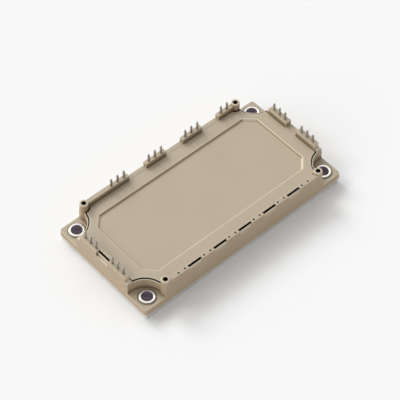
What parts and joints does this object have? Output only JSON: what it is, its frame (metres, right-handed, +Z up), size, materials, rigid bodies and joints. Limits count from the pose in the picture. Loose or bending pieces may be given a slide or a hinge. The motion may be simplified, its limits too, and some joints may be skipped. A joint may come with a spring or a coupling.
{
  "type": "power semiconductor module",
  "caption": "Flat rectangular IGBT power module with a metal base plate, a tan moulded frame, a recessed lid, solder pins and corner screw bushes.",
  "frame": {"origin": "middle of the base plate's underside", "axes": "+X along the long side, +Y across it towards the long side with pins, +Z up out of the lid, the way the pins point"},
  "size_m": [0.122, 0.062, 0.0205],
  "materials": {
    "base_plate_metal": "nickel-plated copper, rolled and stamped",
    "frame_moulding": "glass-filled thermoplastic, fine spark-eroded mould texture",
    "lid_moulding": "glass-filled thermoplastic, fine spark-eroded mould texture",
    "adhesive": "cured silicone adhesive",
    "gel": "clear soft silicone",
    "bush_metal": "nickel-plated, turned",
    "pin_metal": "tinned copper, stamped",
    "solder": "tin solder, reflowed",
    "copper": "bare bonded copper, etched",
    "substrate_ceramic": "fired alumina",
    "chip": "metallised silicon",
    "sensor_body": "fired chip with tinned ends",
    "wire_metal": "drawn soft wire"
  },
  "bodies": {
    "root": {"base_plate": "base_plate_metal", "bond_wires": "wire_metal", "ceramic_1": "substrate_ceramic", "ceramic_2": "substrate_ceramic", "ceramic_3": "substrate_ceramic", "copper_back_1": "copper", "copper_back_2": "copper", "copper_back_3": "copper", "copper_tracks_1": "copper", "copper_tracks_2": "copper", "copper_tracks_3": "copper", "diode_chip_1": "chip", "diode_chip_2": "chip", "diode_chip_3": "chip", "diode_chip_4": "chip", "diode_chip_5": "chip", "diode_chip_6": "chip", "frame": "frame_moulding", "frame_adhesive": "adhesive", "igbt_chip_1": "chip", "igbt_chip_2": "chip", "igbt_chip_3": "chip", "igbt_chip_4": "chip", "igbt_chip_5": "chip", "igbt_chip_6": "chip", "lid": "lid_moulding", "pin_far_1": "pin_metal", "pin_far_10": "pin_metal", "pin_far_11": "pin_metal", "pin_far_2": "pin_metal", "pin_far_3": "pin_metal", "pin_far_4": "pin_metal", "pin_far_5": "pin_metal", "pin_far_6": "pin_metal", "pin_far_7": "pin_metal", "pin_far_8": "pin_metal", "pin_far_9": "pin_metal", "pin_left_1": "pin_metal", "pin_left_2": "pin_metal", "pin_left_3": "pin_metal", "pin_left_4": "pin_metal", "pin_left_5": "pin_metal", "pin_left_6": "pin_metal", "pin_right_1": "pin_metal", "pin_right_2": "pin_metal", "pin_right_3": "pin_metal", "pin_right_4": "pin_metal", "pin_right_5": "pin_metal", "pin_right_6": "pin_metal", "screw_bush_1": "bush_metal", "screw_bush_2": "bush_metal", "screw_bush_3": "bush_metal", "screw_bush_4": "bush_metal", "silicone_gel": "gel", "substrate_solder_1": "solder", "substrate_solder_2": "solder", "substrate_solder_3": "solder", "temperature_sensor": "sensor_body"}
  },
  "joints": []
}
